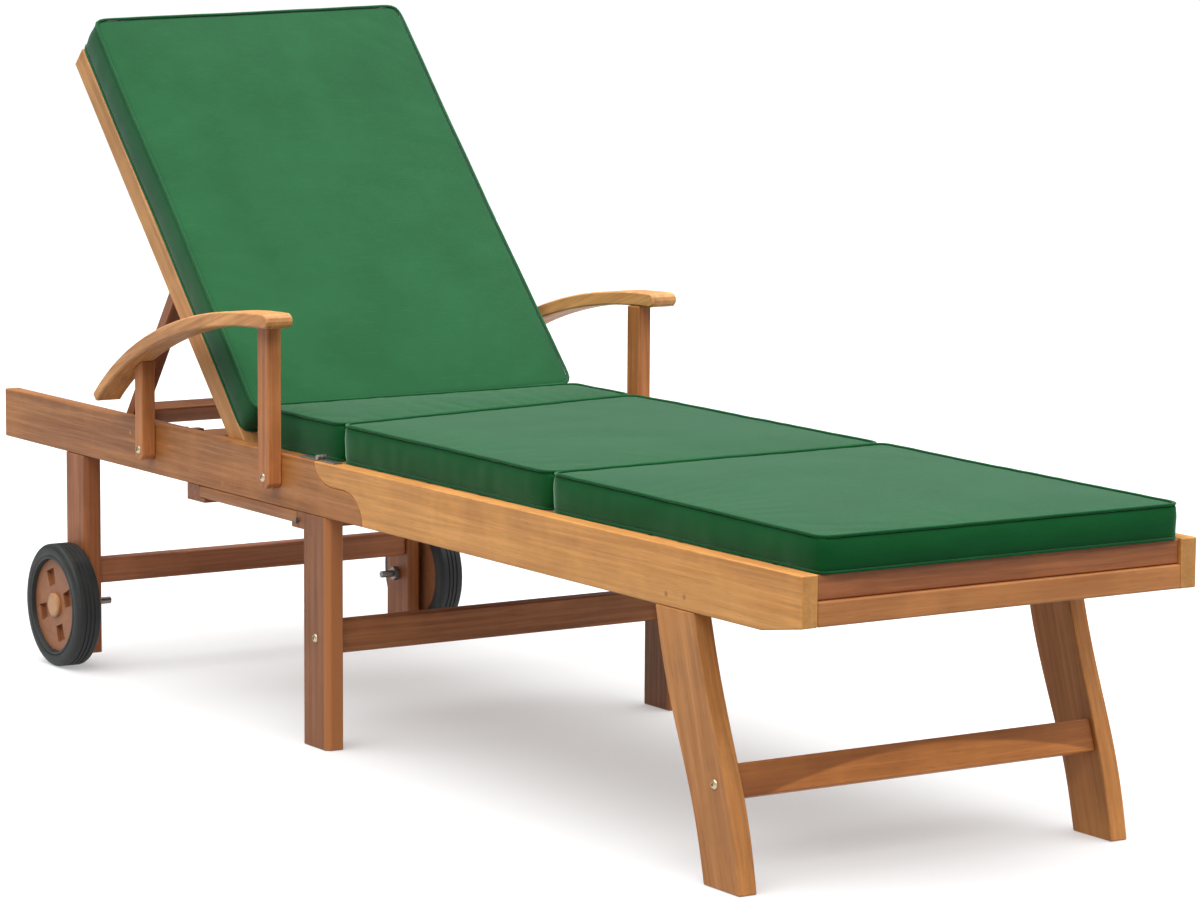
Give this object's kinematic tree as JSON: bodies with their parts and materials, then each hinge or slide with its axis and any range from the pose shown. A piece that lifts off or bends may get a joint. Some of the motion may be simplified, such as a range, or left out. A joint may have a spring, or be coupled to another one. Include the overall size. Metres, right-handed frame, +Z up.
{
  "type": "sun lounger",
  "caption": "Reclining wooden sun lounger with wheels, armrests, a folding foot section, a pull-out side tray and a sectioned boxed cushion.",
  "frame": {"origin": "on the floor, at the centre of the bounding box footprint", "axes": "+Z up; +Y towards the head end; +X towards the side away from the tray, so the tray pulls out along -X"},
  "size_m": [0.63, 2, 0.9116],
  "materials": {
    "teak": "oiled, straight grain",
    "teak_light": "oiled, lighter boards",
    "teak_dark": "oiled, darker boards",
    "cushion_fabric": "woven polyester cover over foam",
    "tyre_rubber": "matte",
    "hub_wood": "stained",
    "hub_cap_wood": "light",
    "steel": "zinc plated"
  },
  "bodies": {
    "base": {"arm_post_front_far": "teak", "arm_post_front_near": "teak", "arm_post_rear_far": "teak", "arm_post_rear_near": "teak", "armrest_far": "teak", "armrest_near": "teak", "axle_bolt_far": "steel", "axle_bolt_near": "steel", "bolt_arm_post_front_far": "steel", "bolt_arm_post_front_near": "steel", "bolt_arm_post_rear_far": "steel", "bolt_arm_post_rear_near": "steel", "bolt_mid_leg_far": "steel", "bolt_mid_leg_near": "steel", "hinge_leaf_rear_far": "steel", "hinge_leaf_rear_near": "steel", "leg_mid_far": "teak", "leg_mid_near": "teak", "leg_rear_far": "teak", "leg_rear_near": "teak", "pad_seat": "cushion_fabric", "prop_cross_board": "teak", "prop_rack_far": "teak_dark", "prop_rack_near": "teak_dark", "rail_rear_far": "teak", "rail_rear_near": "teak", "slats_seat": "teak", "stretcher_mid": "teak", "stretcher_rear": "teak", "tray_runner_front": "teak", "tray_runner_rear": "teak"},
    "wheel_near": {"tyre_near": "tyre_rubber", "hub_near": "hub_wood", "hub_cap_near": "hub_cap_wood"},
    "wheel_far": {"tyre_far": "tyre_rubber", "hub_far": "hub_wood", "hub_cap_far": "hub_cap_wood"},
    "foot_section": {"rail_front_near": "teak_light", "rail_front_far": "teak_light", "leg_front_near": "teak_light", "leg_front_far": "teak_light", "stretcher_front": "teak_light", "bolt_front_leg_near": "steel", "bolt_front_leg_far": "steel", "cross_rail_front_lower": "teak_light", "cross_rail_front_upper": "teak_dark", "slats_foot": "teak", "hinge_leaf_front_near": "steel", "hinge_leaf_front_far": "steel", "pad_mid": "cushion_fabric", "pad_foot": "cushion_fabric"},
    "backrest": {"back_stile_near": "teak_light", "back_stile_far": "teak_light", "slats_back": "teak", "pad_back": "cushion_fabric"},
    "prop": {"prop_leg_near": "teak_dark", "prop_leg_far": "teak_dark", "prop_crossbar": "teak"},
    "tray": {"tray_panel": "teak", "tray_front_edge": "teak"}
  },
  "joints": [
    {"name": "back_recline", "type": "hinge", "parent": "base", "child": "backrest", "pos_m": [0, 0.31, 0.3545], "axis": [1, 0, 0], "range_deg": [-46.4, 11.6]},
    {"name": "prop_swing", "type": "hinge", "parent": "backrest", "child": "prop", "pos_m": [0, 0.53016, 0.57844], "axis": [1, 0, 0], "range_deg": [-25, 99.75]},
    {"name": "foot_fold", "type": "hinge", "parent": "base", "child": "foot_section", "pos_m": [0, 0.07, 0.3756], "axis": [-1, 0, 0], "range_deg": [0, 90], "deforming": ["pad_seat"]},
    {"name": "wheel_near_spin", "type": "hinge", "parent": "base", "child": "wheel_near", "pos_m": [-0.2955, 0.7664, 0.0875], "axis": [1, 0, 0], "continuous": true},
    {"name": "wheel_far_spin", "type": "hinge", "parent": "base", "child": "wheel_far", "pos_m": [0.2955, 0.7664, 0.0875], "axis": [1, 0, 0], "continuous": true},
    {"name": "tray_slide", "type": "slide", "parent": "base", "child": "tray", "axis": [-1, 0, 0], "range_m": [0, 0.26]}
  ],
  "couplings": [
    {"joint": "prop_swing", "follows": "back_recline", "ratio": -2.1476}
  ]
}
